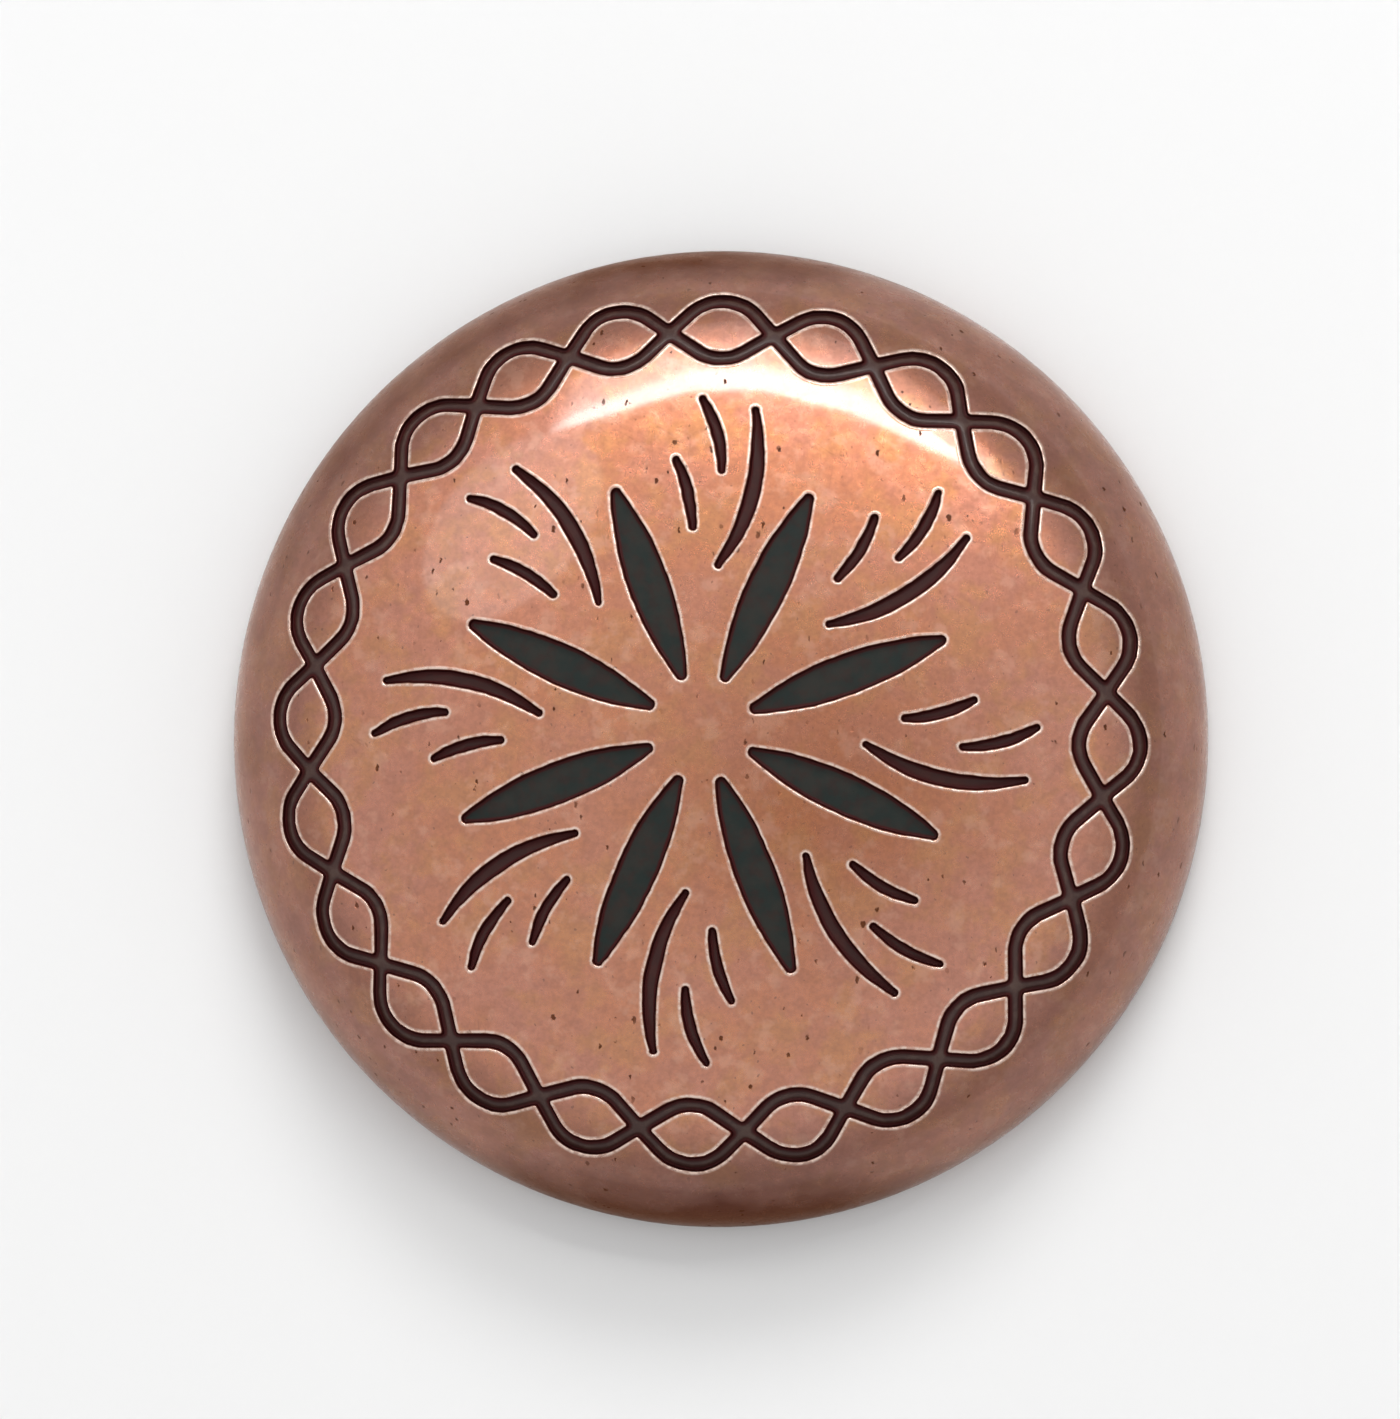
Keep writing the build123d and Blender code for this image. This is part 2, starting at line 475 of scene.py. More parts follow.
enamelShape = {
    # out from the groove's wall, height over the dome's face, how much plain paint shows rather than the
    # dark maroon painted shade by the walls, and how much pale brown polish shows, a painted highlight on a
    # real gloss
    "border": [
        (-0.190, -0.200, 0.3, 0.65),
        (-0.155, -0.210, 0.3, 0.3),
        (-0.125, -0.214, 0.15, 0.1),
        (-0.090, -0.211, 0.0, 0.0),
        (-0.056, -0.190, 0.0, 0.0),
    ],
    "petals": [
        (-0.200, -0.214, 1.0, 0.0),
        (-0.150, -0.214, 0.8, 0.0),
        (-0.115, -0.212, 0.1, 0.0),
        (-0.056, -0.190, 0.0, 0.0),
    ],
    "strokes": [
        (-0.165, -0.214, 0.25, 0.2),
        (-0.125, -0.214, 0.1, 0.05),
        (-0.090, -0.212, 0.0, 0.0),
        (-0.056, -0.190, 0.0, 0.0),
    ],
    "underside": [(-0.060, -0.30, 0.0, 0.0), (-0.080, -0.335, 0.0, 0.0)],
    "sharpAngle": 50,
}


def layEnamel(bm, outlinesAt, steps):   # the first and the last step close the paint above and below
    layers = [bm.verts.layers.float[name] for name in ("paint", "polishAndHighlight")]
    rings = startRings(bm, outlinesAt(steps[0][0]), steps[0][1])
    edges = [edge for ring in rings for edge in ring]
    for number, (out, height, *shares) in enumerate(steps):
        if number:
            edges = growRings(bm, edges, outlinesAt(out), height)
        for vert in {vert for edge in edges for vert in edge.verts}:
            for layer, share in zip(layers, shares):
                vert[layer] = share
        if number in (0, len(steps) - 1):
            fillRings(bm, edges)


def makeEnamel():
    bm = bmesh.new()
    bm.verts.layers.int.new("place")
    bm.verts.layers.float.new("paint")
    bm.verts.layers.float.new("polishAndHighlight")
    underside = enamelShape["underside"]
    layEnamel(bm, borderOutlines, enamelShape["border"] + underside)
    layEnamel(bm, petalOutlines, enamelShape["petals"] + underside)
    layEnamel(bm, strokeOutlines, enamelShape["strokes"] + underside)
    bendToDome(bm)
    bmesh.ops.recalc_face_normals(bm, faces=bm.faces)
    sharpen(bm, enamelShape["sharpAngle"])
    return makePiece("enamel", bm, "black_enamel")


# The screw post behind the crown, with its cut thread

postShape = {
    "radius": postHigh.x / mm,
    "mouth": postLow.z / mm,
    "top": postHigh.z / mm,
    "web": 0.9,              # solid metal over the end of the hole
    "chamfer": 0.2,
    "threadRadius": 2.08,
    "threadDepth": 0.43,
    "pitch": 0.794,
    "turnSteps": 72,
    "spareTurns": 3,         # turns of thread beyond the hole, which the cuts at its ends take off
    # share of the pitch and share of the thread's depth, over one turn
    "threadForm": [(0.0, 0.0), (0.125, 0.0), (0.4375, 1.0), (0.6875, 1.0)],
    "mergeSnap": 1e-3,       # points nearer than this are one
    "cutSnap": 1e-5,
    "sharpAngle": 25,
}


def openEdgesAt(bm, height):
    snap = postShape["mergeSnap"]
    edges = [edge for edge in bm.edges if edge.is_boundary]
    return [edge for edge in edges if all(abs(vert.co.z - height) < snap for vert in edge.verts)]


def makePost():
    bm = bmesh.new()
    pitch = postShape["pitch"]
    radius = postShape["threadRadius"]
    start = postShape["mouth"] + postShape["chamfer"]
    end = postShape["top"] - postShape["web"]
    turns = int((end - start) / pitch) + postShape["spareTurns"]
    profile = [
        bm.verts.new((radius - postShape["threadDepth"] * depth, 0, start + pitch * (turn - 1 + share)))
        for turn in range(turns) for share, depth in postShape["threadForm"]
    ]
    edges = [bm.edges.new(pair) for pair in zip(profile, profile[1:])]
    steps = postShape["turnSteps"]
    bmesh.ops.spin(
        bm, geom=profile + edges, cent=(0, 0, 0), axis=(0, 0, 1), dvec=(0, 0, pitch / steps),
        angle=2 * pi, steps=steps, use_merge=False, use_duplicate=False,
    )
    bmesh.ops.remove_doubles(bm, verts=bm.verts, dist=postShape["mergeSnap"])
    for height, clearAbove in ((end, True), (start, False)):
        everything = [*bm.verts, *bm.edges, *bm.faces]
        bmesh.ops.bisect_plane(
            bm, geom=everything, dist=postShape["cutSnap"], plane_co=(0, 0, height), plane_no=(0, 0, 1),
            clear_outer=clearAbove, clear_inner=not clearAbove,
        )
    fillRings(bm, openEdgesAt(bm, end))
    threadMouth = openEdgesAt(bm, start)
    low = postShape["mouth"]
    high = postShape["top"]
    out = postShape["radius"]
    chamfer = postShape["chamfer"]
    topChamfer = chamfer / 2
    ring = bmesh.ops.create_circle(bm, segments=2 * steps, radius=radius + chamfer)["verts"]
    bmesh.ops.translate(bm, verts=ring, vec=(0, 0, low))
    edges = list({edge for vert in ring for edge in vert.link_edges})
    fillRings(bm, threadMouth + edges)
    stations = [
        (out - chamfer, low),
        (out, low + chamfer),
        (out, high - topChamfer),
        (out - topChamfer, high),
    ]
    edges = growRound(bm, edges, stations)
    bmesh.ops.holes_fill(bm, edges=edges, sides=0)
    bmesh.ops.recalc_face_normals(bm, faces=bm.faces)
    sharpen(bm, postShape["sharpAngle"])
    return makePiece("post", bm, "screw_post")


dome = makeDome()
enamel = makeEnamel()
post = makePost()

# Shader helpers

def setInputs(tree, node, inputs):   # each is linked to another node's socket, or gets a plain value
    for socket, value in inputs.items():
        if isinstance(value, bpy.types.NodeSocket):
            tree.links.new(value, node.inputs[socket])
        else:
            node.inputs[socket].default_value = value


def addNode(tree, kind, inputs=None, **settings):
    node = tree.nodes.new("ShaderNode" + kind)
    for name, value in settings.items():
        setattr(node, name, value)
    setInputs(tree, node, inputs or {})
    return node


def calculate(tree, operation, first, second=0.0, third=0.0, clamp=False):
    values = {0: first, 1: second, 2: third}
    return addNode(tree, "Math", values, operation=operation, use_clamp=clamp).outputs[0]


def mixColours(tree, share, first, second):
    inputs = {0: share, 6: first, 7: second}   # a Mix node's colours are its inputs 6 and 7, and output 2
    return addNode(tree, "Mix", inputs, data_type="RGBA").outputs[2]


def colour(red, green, blue):
    return (red, green, blue, 1)


def setStops(ramp, stops):   # gives a colour ramp its stops, each a place and a shade of grey
    elements = ramp.color_ramp.elements
    while len(elements) < len(stops):
        elements.new(0.5)
    for element, (place, shade) in zip(elements, stops):
        element.position = place
        element.color = colour(shade, shade, shade)


def newGroup(name, inputs):   # a group that takes a vector and these numbers, and puts out one mask
    group = bpy.data.node_groups.new(name, "ShaderNodeTree")
    group.interface.new_socket(name="Vector", in_out="INPUT", socket_type="NodeSocketVector")
    for label, value in inputs.items():
        socket = group.interface.new_socket(name=label, in_out="INPUT", socket_type="NodeSocketFloat")
        socket.default_value = value
    group.interface.new_socket(name="Mask", in_out="OUTPUT", socket_type="NodeSocketFloat")
    given = group.nodes.new("NodeGroupInput").outputs
    mask = group.nodes.new("NodeGroupOutput").inputs["Mask"]
    return group, given, mask


def useGroup(tree, group, vector, values):
    node = addNode(tree, "Group", node_tree=group)
    setInputs(tree, node, {"Vector": vector, **values})
    return node.outputs["Mask"]


def calculateVector(tree, operation, first, second):
    return addNode(tree, "VectorMath", {0: first, 1: second}, operation=operation).outputs[0]


def readAttribute(tree, name):
    return addNode(tree, "Attribute", attribute_name=name).outputs["Fac"]


# Effects that the metals and the enamel share. Their vectors are in millimetres, as are sizes and
# spacings. The first dictionary of each holds the inputs that a material sets for itself.

patchEffect = {
    "inputs": {"Size": 1.0, "Level": 0.5, "Softness": 0.1},
    "noise": {"Detail": 3.0, "Roughness": 0.6},
}


def makePatches():   # soft patches of uneven tone
    group, given, mask = newGroup("patches", patchEffect["inputs"])
    density = calculate(group, "DIVIDE", 1.0, given["Size"])
    inputs = {"Vector": given["Vector"], "Scale": density, **patchEffect["noise"]}
    noise = addNode(group, "TexNoise", inputs).outputs[0]
    low = calculate(group, "SUBTRACT", given["Level"], given["Softness"])
    high = calculate(group, "ADD", given["Level"], given["Softness"])
    limits = {"Value": noise, "From Min": low, "From Max": high}
    ramp = addNode(group, "MapRange", limits, interpolation_type="SMOOTHSTEP")
    group.links.new(ramp.outputs[0], mask)
    return group


pitEffect = {
    "inputs": {"Spacing": 1.0, "Share": 0.3, "Size": 0.1, "Stretch": 1.0},
    "warp": {"Scale": 7.0, "Detail": 2.0},   # what makes the outlines ragged
    "warpReach": (0.16, 0.16, 0.16),
    "smallest": 0.45,        # share of the largest speck's size
    "edge": 0.3,             # width of a speck's soft edge, as a share of the size
}


def makePits():   # scattered specks of uneven size and ragged outline, each in its own cell
    group, given, mask = newGroup("pits", pitEffect["inputs"])
    density = calculate(group, "DIVIDE", 1.0, given["Spacing"])
    flatten = addNode(group, "CombineXYZ", {"X": 1.0, "Y": given["Stretch"], "Z": 1.0}).outputs[0]
    warp = addNode(group, "TexNoise", {"Vector": given["Vector"], **pitEffect["warp"]}).outputs["Color"]
    shift = calculateVector(group, "MULTIPLY", warp, pitEffect["warpReach"])
    place = calculateVector(group, "ADD", given["Vector"], shift)
    place = calculateVector(group, "MULTIPLY", place, flatten)
    cells = addNode(group, "TexVoronoi", {"Vector": place, "Scale": density, "Randomness": 1.0})
    chance = addNode(group, "SeparateColor", {"Color": cells.outputs["Color"]}).outputs[0]
    distance = calculate(group, "MULTIPLY", cells.outputs["Distance"], given["Spacing"])
    bar = calculate(group, "SUBTRACT", 1.0, given["Share"])
    limits = {"Value": chance, "From Min": bar, "To Min": pitEffect["smallest"]}
    reach = addNode(group, "MapRange", limits).outputs[0]
    reach = calculate(group, "MULTIPLY", reach, calculate(group, "GREATER_THAN", chance, bar))
    inside = calculate(group, "SUBTRACT", calculate(group, "MULTIPLY", reach, given["Size"]), distance)
    edge = calculate(group, "MULTIPLY", given["Size"], pitEffect["edge"])
    group.links.new(calculate(group, "DIVIDE", inside, edge, clamp=True), mask)
    return group


scratchEffect = {
    "inputs": {"Angle": 0.0, "Length": 8.0, "Spacing": 0.5, "Width": 0.01},
    "lines": {"Scale": 1.0, "Detail": 3.0, "Roughness": 0.7},
    "gaps": {"Scale": 0.35, "Detail": 1.0},
    "gapLimits": {"From Min": 0.48, "From Max": 0.62},
}


def makeScratches():   # long fine lines, all roughly one way, with bare gaps between them
    group, given, mask = newGroup("scratches", scratchEffect["inputs"])
    inputs = {"Vector": given["Vector"], "Angle": given["Angle"]}
    spin = addNode(group, "VectorRotate", inputs, rotation_type="Z_AXIS").outputs[0]
    along = calculate(group, "DIVIDE", 1.0, given["Length"])
    across = calculate(group, "DIVIDE", 1.0, given["Spacing"])
    stretch = addNode(group, "CombineXYZ", {"X": along, "Y": across, "Z": along}).outputs[0]
    place = calculateVector(group, "MULTIPLY", spin, stretch)
    noise = addNode(group, "TexNoise", {"Vector": place, **scratchEffect["lines"]}).outputs[0]
    away = calculate(group, "ABSOLUTE", calculate(group, "SUBTRACT", noise, 0.5))
    line = calculate(group, "SUBTRACT", 1.0, calculate(group, "DIVIDE", away, given["Width"]), clamp=True)
    gaps = addNode(group, "TexNoise", {"Vector": given["Vector"], **scratchEffect["gaps"]}).outputs[0]
    here = addNode(group, "MapRange", {"Value": gaps, **scratchEffect["gapLimits"]}).outputs[0]
    group.links.new(calculate(group, "MULTIPLY", line, here), mask)
    return group


patches = makePatches()
pits = makePits()
scratches = makeScratches()


def startMaterial(name):   # a material with its shader
    material = bpy.data.materials.new(name)
    material.use_nodes = True
    return material, material.node_tree.nodes["Principled BSDF"]


def placeOnPiece(tree):   # in millimetres
    place = addNode(tree, "TexCoord").outputs["Object"]
    return addNode(tree, "Mapping", {"Vector": place, "Scale": (1 / mm, 1 / mm, 1 / mm)}).outputs[0]


def makeMasks(tree, place, look):   # the patches, pits and scratches that a finish lists, by name
    masks = {}
    for kind, group in (("patches", patches), ("pits", pits), ("scratches", scratches)):
        for name, values in look[kind].items():
            masks[name] = useGroup(tree, group, place, values)
    return masks


def liftMask(tree, mask, least):   # the same mask, which now starts at the least value
    return calculate(tree, "MULTIPLY_ADD", mask, 1 - least, least)


def addTints(tree, tone, masks, look, tints):   # mixes in each tint's colour where its mask is
    for name, strength, toTone in tints:
        share = calculate(tree, "MULTIPLY", masks[name], strength)
        tone = mixColours(tree, share, tone, look[toTone])
    return tone


def addBump(tree, height, relief, **settings):   # relief in millimetres
    inputs = {"Height": height, "Distance": relief * mm, "Strength": 1.0}
    return addNode(tree, "Bump", inputs, **settings).outputs[0]


copperLook = {
    "main": colour(0.635, 0.208, 0.077),
    "pink": colour(0.600, 0.218, 0.136),
    "tan": colour(0.630, 0.244, 0.080),
    "brown": colour(0.25, 0.072, 0.030),
    "pale": colour(0.80, 0.40, 0.26),
    "speck": colour(0.105, 0.033, 0.014),
    # bright: rubbed copper on the lips, with a painted highlight on them
    "bright": colour(0.98, 0.74, 0.62),
    "recess": colour(0.050, 0.006, 0.006),
    # the rim's dark colour: tarnish, and painted shade
    "tarnishAndShade": colour(0.095, 0.036, 0.027),
    "patches": {
        "clouds": {"Size": 2.4, "Level": 0.5, "Softness": 0.12},
        "tans": {"Size": 1.5, "Level": 0.55, "Softness": 0.1},
        "mottle": {"Size": 0.5, "Level": 0.52, "Softness": 0.13},
        "grain": {"Size": 0.16, "Level": 0.52, "Softness": 0.12},
        "highs": {"Size": 0.8, "Level": 0.6, "Softness": 0.09},
        "crowded": {"Size": 3.5, "Level": 0.47, "Softness": 0.06},     # where the marks are many
        "rubbedAndGlinting": {"Size": 0.22, "Level": 0.48, "Softness": 0.1},      # where the lips are brightest, from wear and a painted highlight
        "blotches": {"Size": 2.6, "Level": 0.5, "Softness": 0.25},     # of the tarnish
    },
    "pits": {
        "specks": {"Spacing": 0.55, "Share": 0.6, "Size": 0.085, "Stretch": 0.6},
        "dashes": {"Spacing": 0.45, "Share": 0.7, "Size": 0.06, "Stretch": 0.35},
        "dust": {"Spacing": 0.25, "Share": 0.5, "Size": 0.045, "Stretch": 0.8},
    },
    "scratches": {
        "hairlines": {"Angle": 0.5, "Length": 9.0, "Spacing": 0.6, "Width": 0.006},
        "crossLines": {"Angle": 1.55, "Length": 6.0, "Spacing": 0.8, "Width": 0.006},
    },
    # mask, strength and colour of each tint, in the order in which they go on
    "tints": [
        ("tans", 0.8, "tan"),
        ("mottle", 0.22, "brown"),
        ("grain", 0.20, "brown"),
        ("highs", 0.35, "pale"),
    ],
    "tintsOverTarnishAndShade": [
        ("marks", 0.85, "speck"),
        ("dust", 0.5, "speck"),
        ("lines", 0.25, "brown"),
    ],
    "leastMarks": 0.25,      # strength of the marks outside the crowded patches
    "leastShine": 0.4,       # of the lips' rubbed brightness and painted highlight
    # the copper turns pinker outward, between these shares of the dome's radius, and in patches
    "pinkFrom": 0.35,
    "pinkTo": 0.85,
    "pinkInPatches": 0.5,
    # the rim is dark: tarnish, and painted shade
    "rimDarkFrom": 0.78,
    "rimDarkTo": 0.93,
    "rimDarkLeast": 0.56,
    "tarnishBlotches": 0.14,
    # where painted shade makes the rim darker still: which way, from and to which share of the radius, and
    # how much
    "paintedShadeSides": [
        ((-0.57, 0.82, 0), 0.62, 0.92, 0.20),
        ((0, 1, 0), 0.91, 0.96, 0.20),
        ((0, -1, 0), 0.84, 0.98, 0.42),
    ],
    "dulling": 1.9,          # power of the rim's darkening, tarnish and painted shade, that takes the gloss off
    "roughness": 0.27,
    "rougher": [("mottle", 0.06), ("marks", 0.3), ("grime", 0.3), ("fineMarks", 0.12)],
    "ripple": {"Scale": 1.4, "Detail": 3.0},
    "rippleHeight": 0.9,     # beside a pit's depth of 1
    "relief": 0.02,          # depth of the pits, in millimetres
    "finish": {
        "Coat Roughness": 0.05,
        "Coat IOR": 1.85,
        "Specular IOR Level": 0.05,
        "Specular Tint": colour(0.85, 0.62, 0.52),
    },
}


def outwards(tree, place, start, end):   # from 0 to 1 between two shares of the dome's radius
    flat = calculateVector(tree, "MULTIPLY", place, (1, 1, 0))
    radius = addNode(tree, "VectorMath", {0: flat}, operation="LENGTH").outputs["Value"]
    limits = {"From Min": domeShape["radius"] * start, "From Max": domeShape["radius"] * end}
    return addNode(tree, "MapRange", {"Value": radius, **limits}).outputs[0]


# Dark towards the rim with tarnish, and painted shade most of all at the upper left, the top and the foot
# of the face
def tarnishAndShadeMask(tree, place, blotches):
    rim = domeShape["radius"]
    ring = outwards(tree, place, copperLook["rimDarkFrom"], copperLook["rimDarkTo"])
    least = copperLook["rimDarkLeast"]
    share = calculate(tree, "MULTIPLY_ADD", blotches, copperLook["tarnishBlotches"], least)
    for side, start, end, strength in copperLook["paintedShadeSides"]:
        along = addNode(tree, "VectorMath", {0: place, 1: side}, operation="DOT_PRODUCT").outputs["Value"]
        limits = {"Value": along, "From Min": start * rim, "From Max": end * rim, "To Max": strength}
        share = calculate(tree, "ADD", share, addNode(tree, "MapRange", limits).outputs[0])
    return calculate(tree, "MULTIPLY", ring, share, clamp=True)


def copperTone(tree, place, masks):
    look = copperLook
    patchy = look["pinkInPatches"]
    pinker = outwards(tree, place, look["pinkFrom"], look["pinkTo"])
    pinkPatches = calculate(tree, "MULTIPLY", masks["clouds"], patchy)
    pinker = calculate(tree, "MULTIPLY_ADD", pinker, 1 - patchy, pinkPatches)
    tone = mixColours(tree, pinker, look["main"], look["pink"])
    tone = addTints(tree, tone, masks, look, look["tints"])
    # Darker towards the rim: tarnish, with painted shade at the upper left, the top and the foot
    tone = mixColours(tree, masks["tarnishAndShade"], tone, look["tarnishAndShade"])
    tone = addTints(tree, tone, masks, look, look["tintsOverTarnishAndShade"])
    # The lips: rubbed bright copper, with a painted highlight on them
    tone = mixColours(tree, masks["lips"], tone, look["bright"])
    return mixColours(tree, masks["grime"], tone, look["recess"])


def makeCopper():
    look = copperLook
    material, shader = startMaterial("antiqued copper")
    tree = material.node_tree
    place = placeOnPiece(tree)
    masks = makeMasks(tree, place, look)
    masks["grime"] = readAttribute(tree, "grime")
    masks["tarnishAndShade"] = tarnishAndShadeMask(tree, place, masks["blotches"])
    masks["lines"] = calculate(tree, "MAXIMUM", masks["hairlines"], masks["crossLines"])
    masks["fineMarks"] = calculate(tree, "MAXIMUM", masks["dust"], masks["lines"])
    crowd = liftMask(tree, masks["crowded"], look["leastMarks"])
    deep = calculate(tree, "MAXIMUM", masks["specks"], masks["dashes"])
    masks["marks"] = calculate(tree, "MULTIPLY", crowd, deep)
    # Where the lips are bright: wear, and a painted highlight
    shine = liftMask(tree, masks["rubbedAndGlinting"], look["leastShine"])
    masks["lips"] = calculate(tree, "MULTIPLY", readAttribute(tree, "wearAndHighlight"), shine)
    rough = look["roughness"]
    for name, strength in look["rougher"]:
        rough = calculate(tree, "MULTIPLY_ADD", masks[name], strength, rough)
    ripple = addNode(tree, "TexNoise", {"Vector": place, **look["ripple"]}).outputs[0]
    height = calculate(tree, "MULTIPLY", ripple, look["rippleHeight"])
    height = calculate(tree, "SUBTRACT", height, masks["marks"])
    clean = calculate(tree, "SUBTRACT", 1.0, masks["grime"])
    dull = calculate(tree, "POWER", masks["tarnishAndShade"], look["dulling"])
    dull = calculate(tree, "MAXIMUM", masks["marks"], dull)
    inputs = {
        "Base Color": copperTone(tree, place, masks),
        "Roughness": rough,
        "Metallic": clean,
        "Coat Weight": calculate(tree, "MULTIPLY", clean, calculate(tree, "SUBTRACT", 1.0, dull)),
        "Normal": addBump(tree, height, look["relief"]),
    }
    setInputs(tree, shader, inputs | look["finish"])
    return material


enamelLook = {
    # random stains, and the dark maroon painted shade along the walls
    "stainedAndShaded": colour(0.050, 0.007, 0.007),
    "main": colour(0.020, 0.0275, 0.025),
    # a pale brown painted highlight along the middle of the grooves
    "polishAndHighlight": colour(0.078, 0.044, 0.034),
    "patches": {
        "clouds": {"Size": 0.9, "Level": 0.5, "Softness": 0.15},
        "stains": {"Size": 0.4, "Level": 0.55, "Softness": 0.12},
    },
    "pits": {"dust": {"Spacing": 0.5, "Share": 0.3, "Size": 0.05, "Stretch": 1.0}},
    "scratches": {},
    "stainStrength": 0.25,   # how much the stains take off the plain paint
    "leastPolishAndHighlight": 0.6,      # strength of the pale polish, a painted highlight, between the stains
    "polishAndHighlightInStains": 0.8,   # and what it gains in them
    "palePaint": 0.2,        # how pale the clouds make the plain paint
    "polishCoat": 0.6,       # gloss of the polish
    "roughness": 0.40,
    "rougherClouds": 0.15,
    "ripple": {"Scale": 2.5, "Detail": 3.0},
    "relief": 0.008,
    "finish": {"Coat Roughness": 0.16, "Coat IOR": 1.6, "Specular IOR Level": 0.12},
}


def makeEnamelPaint():
    look = enamelLook
    material, shader = startMaterial("black enamel paint")
    tree = material.node_tree
    place = placeOnPiece(tree)
    masks = makeMasks(tree, place, look)
    paint = readAttribute(tree, "paint")
    polishAndHighlight = readAttribute(tree, "polishAndHighlight")
    plain = calculate(tree, "MULTIPLY_ADD", masks["stains"], -look["stainStrength"], paint, clamp=True)
    # The pale polish is a painted highlight along the groove's middle; the coat gives it real gloss as well
    polishAndHighlightStrength = calculate(tree, "MULTIPLY_ADD", masks["stains"], look["polishAndHighlightInStains"], look["leastPolishAndHighlight"])
    pale = calculate(tree, "MULTIPLY", polishAndHighlight, polishAndHighlightStrength)
    cloudy = calculate(tree, "MULTIPLY", paint, look["palePaint"])
    pale = calculate(tree, "MULTIPLY_ADD", masks["clouds"], cloudy, pale, clamp=True)
    # Dark maroon painted shade by the walls, and random stains
    tone = mixColours(tree, plain, look["stainedAndShaded"], look["main"])
    rough = calculate(tree, "MULTIPLY_ADD", masks["clouds"], look["rougherClouds"], look["roughness"])
    ripple = addNode(tree, "TexNoise", {"Vector": place, **look["ripple"]}).outputs[0]
    height = calculate(tree, "SUBTRACT", ripple, masks["dust"])
    inputs = {
        "Base Color": mixColours(tree, pale, tone, look["polishAndHighlight"]),
        "Roughness": rough,
        "Coat Weight": calculate(tree, "MULTIPLY", polishAndHighlight, look["polishCoat"]),
        "Normal": addBump(tree, height, look["relief"]),
    }
    setInputs(tree, shader, inputs | look["finish"])
    return material


brassLook = {
    "main": colour(0.72, 0.50, 0.24),
    "dull": colour(0.50, 0.34, 0.17),
    "patches": {"clouds": {"Size": 1.2, "Level": 0.5, "Softness": 0.15}},
    "pits": {},
    "scratches": {"toolMarks": {"Angle": 0.0, "Length": 4.0, "Spacing": 0.25, "Width": 0.02}},
    "roughness": 0.3,
    "rougherClouds": 0.15,
    "relief": 0.008,
    "finish": {"Metallic": 1.0},
}


def makeBrass():
    look = brassLook
    material, shader = startMaterial("turned brass")
    tree = material.node_tree
    masks = makeMasks(tree, placeOnPiece(tree), look)
    rough = calculate(tree, "MULTIPLY_ADD", masks["clouds"], look["rougherClouds"], look["roughness"])
    inputs = {
        "Base Color": mixColours(tree, masks["clouds"], look["main"], look["dull"]),
        "Roughness": rough,
        "Normal": addBump(tree, masks["toolMarks"], look["relief"], invert=True),
    }
    setInputs(tree, shader, inputs | look["finish"])
    return material


dome.data.materials.append(makeCopper())
enamel.data.materials.append(makeEnamelPaint())
post.data.materials.append(makeBrass())
print("materials made")


# Camera, where the photograph was taken from

cameraView = {
    "place": (25.06, -12.24, 270.57),
    "turn": (2.984, 5.330, 2.218),
    "lens": 210.18,
    "sensor": 36.0,
    "clipStart": 0.01,
}
camera = bpy.data.objects.new("camera", bpy.data.cameras.new("camera"))
camera.data.lens = cameraView["lens"]
camera.data.sensor_width = cameraView["sensor"]
camera.data.clip_start = cameraView["clipStart"]
camera.location = Vector(cameraView["place"]) * mm
camera.rotation_euler = Euler([radians(angle) for angle in cameraView["turn"]])
bpy.context.scene.collection.objects.link(camera)
bpy.context.scene.camera = camera


# Floor and light

studio = {
    "floorReach": 3.0,
    "floorTone": colour(0.92, 0.92, 0.92),
    "floorRoughness": 0.6,
    # brightness of the room, by the cosine of the angle from its dark side, which the crown mirrors
    "roomDark": (0.092, -0.045, 0.995),
    "room": [
        (0.0, 0.78),
        (0.14, 0.60),
        (0.30, 0.50),
        (0.74, 0.72),
        (0.95, 0.80),
        (0.985, 0.62),
        (1.0, 0.36),
    ],
    # lamps: place and size in metres, brightness of the lamp's face, and whether metal mirrors it
    "lamps": {
        "ceiling": {
            "place": (-0.215, 0.185, 0.50),
            "size": (0.18, 0.12),
            "brightness": 0.85,
            "mirrored": True,
        },
        "fill": {
            "place": (0.10, 0.80, 0.55),
            "size": (0.5, 0.3),
            "brightness": 10.0,
            "mirrored": False,
        },
    },
    "windowHeight": 0.30,
    # the window's edges in metres: across, near edge, far edge, and share of its brightness
    "window": [
        (-0.118, 0.164, 0.260, 0.35),
        (-0.106, 0.168, 0.360, 0.95),
        (-0.082, 0.175, 0.450, 1.0),
        (-0.046, 0.187, 0.540, 1.0),
        (-0.011, 0.188, 0.580, 1.0),
        (0.035, 0.177, 0.580, 0.95),
        (0.076, 0.160, 0.540, 1.05),
        (0.107, 0.147, 0.480, 1.1),
        (0.140, 0.156, 0.420, 0.95),
        (0.185, 0.190, 0.370, 0.3),
    ],
    # its brightness, by the share of the way from the near edge to the far one
    "windowFade": [(0.0, 9.6), (0.027, 9.6), (0.048, 3.9), (0.13, 2.6), (0.35, 1.4), (1.0, 0.85)],
}


def makeFloor():
    bm = bmesh.new()
    bmesh.ops.create_grid(bm, x_segments=1, y_segments=1, size=studio["floorReach"])
    mesh = bpy.data.meshes.new("floor")
    bm.to_mesh(mesh)
    bm.free()
    floor = bpy.data.objects.new("floor", mesh)
    bpy.context.scene.collection.objects.link(floor)
    material, shader = startMaterial("pale table")
    shader.inputs["Base Color"].default_value = studio["floorTone"]
    shader.inputs["Roughness"].default_value = studio["floorRoughness"]
    mesh.materials.append(material)


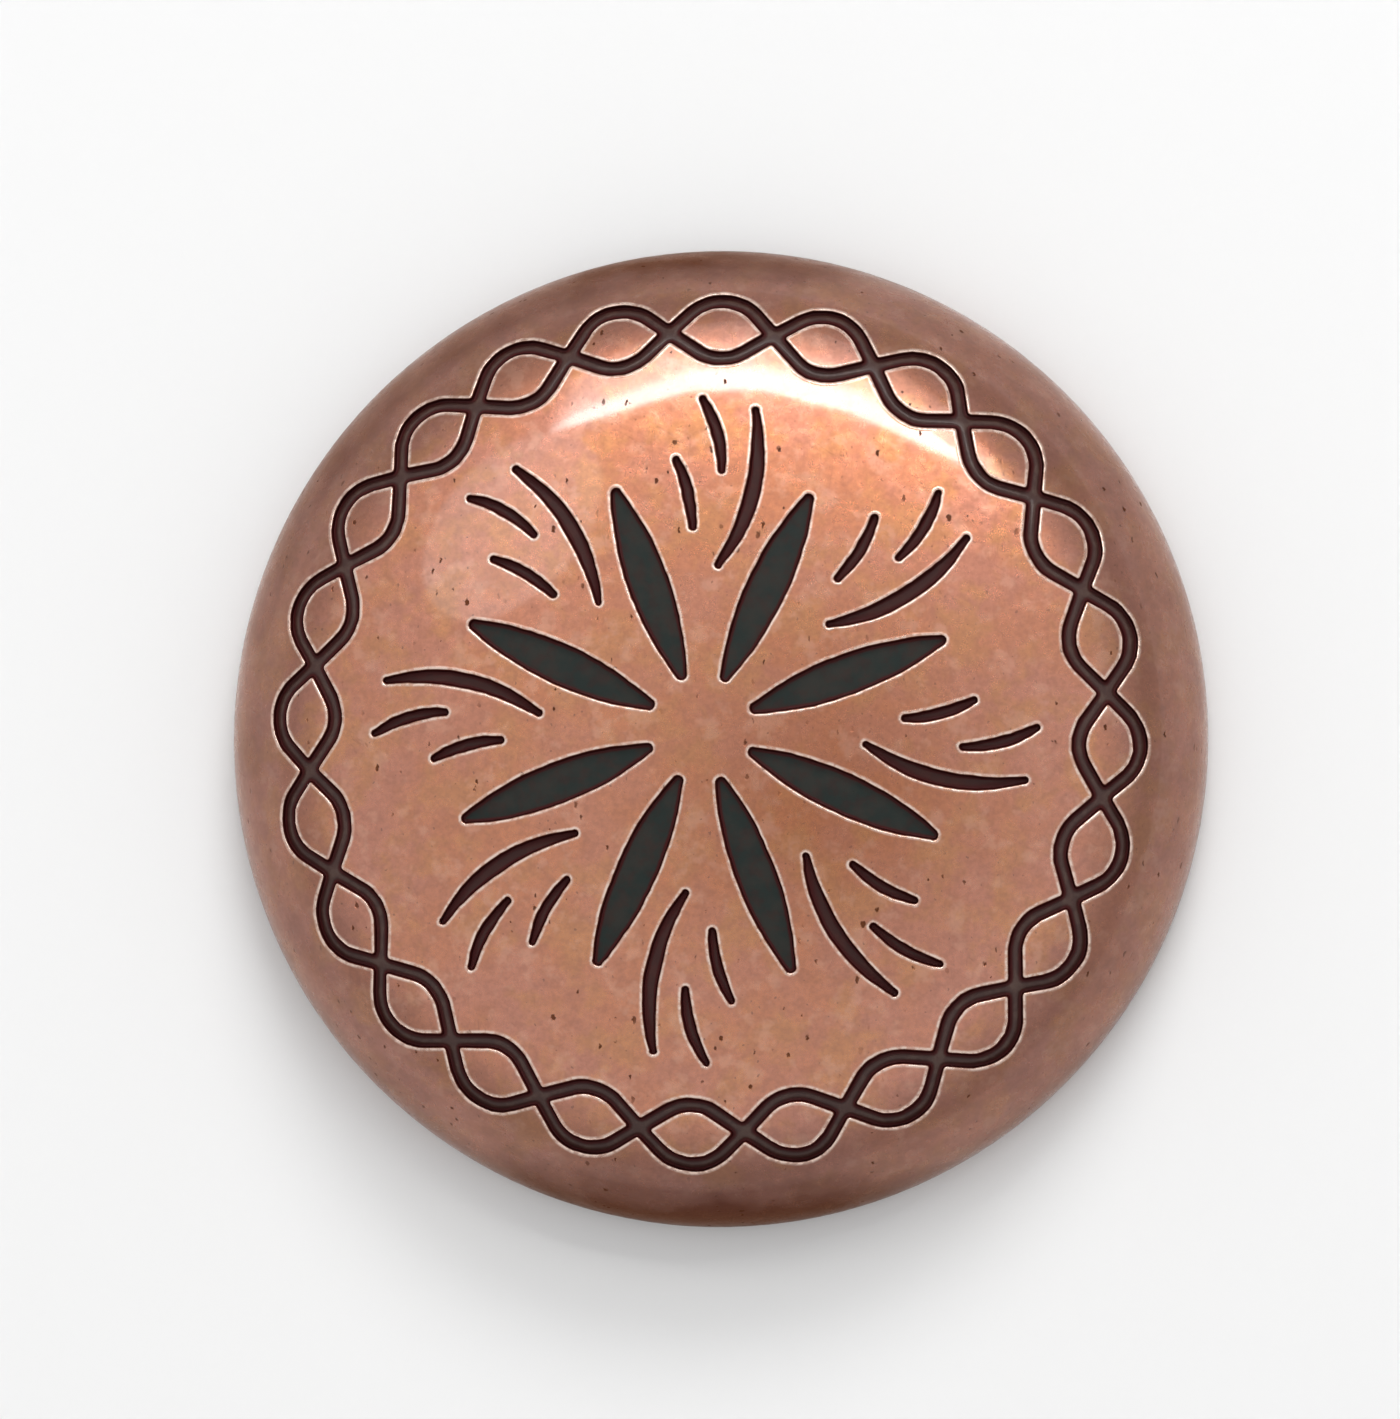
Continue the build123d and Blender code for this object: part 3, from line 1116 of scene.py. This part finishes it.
def makeLamp(name, lamp):
    light = bpy.data.lights.new(name, "AREA")
    light.shape = "ELLIPSE"
    light.size, light.size_y = lamp["size"]
    area = pi / 4 * light.size * light.size_y
    light.energy = lamp["brightness"] * pi * area
    holder = bpy.data.objects.new(name, light)
    holder.location = lamp["place"]
    holder.rotation_euler = (-Vector(lamp["place"])).to_track_quat("-Z", "Y").to_euler()
    holder.visible_glossy = lamp["mirrored"]
    bpy.context.scene.collection.objects.link(holder)


def makeWindow():   # a long curved window, sharp along its near edge and fading to the far one
    bm = bmesh.new()
    glow = bm.verts.layers.float.new("glow")
    rows = []
    for across, near, far, strength in studio["window"]:
        row = []
        for share, brightness in studio["windowFade"]:
            vert = bm.verts.new((across, near + (far - near) * share, studio["windowHeight"]))
            vert[glow] = brightness * strength
            row.append(vert)
        rows.append(row)
    for row, following in zip(rows, rows[1:]):
        for step in range(len(row) - 1):
            bm.faces.new((row[step], following[step], following[step + 1], row[step + 1]))
    mesh = bpy.data.meshes.new("window")
    bm.to_mesh(mesh)
    bm.free()
    window = bpy.data.objects.new("window", mesh)
    window.visible_camera = False
    window.visible_shadow = False
    bpy.context.scene.collection.objects.link(window)
    material, shader = startMaterial("window light")
    light = readAttribute(material.node_tree, "glow")
    inputs = {"Base Color": colour(0, 0, 0), "Emission Color": light, "Emission Strength": 1.0}
    setInputs(material.node_tree, shader, inputs)
    mesh.materials.append(material)


def makeRoom():
    room = bpy.data.worlds.new("studio")
    bpy.context.scene.world = room
    room.use_nodes = True
    tree = room.node_tree
    towards = addNode(tree, "TexCoord").outputs["Generated"]
    inputs = {0: towards, 1: studio["roomDark"]}
    near = addNode(tree, "VectorMath", inputs, operation="DOT_PRODUCT").outputs["Value"]
    ramp = addNode(tree, "ValToRGB", {"Fac": near})
    setStops(ramp, studio["room"])
    tree.links.new(ramp.outputs["Color"], tree.nodes["Background"].inputs["Color"])


makeFloor()
makeWindow()
for name, lamp in studio["lamps"].items():
    makeLamp(name, lamp)
makeRoom()
bpy.context.scene.view_settings.view_transform = "Standard"
print("camera, floor and lamps set")
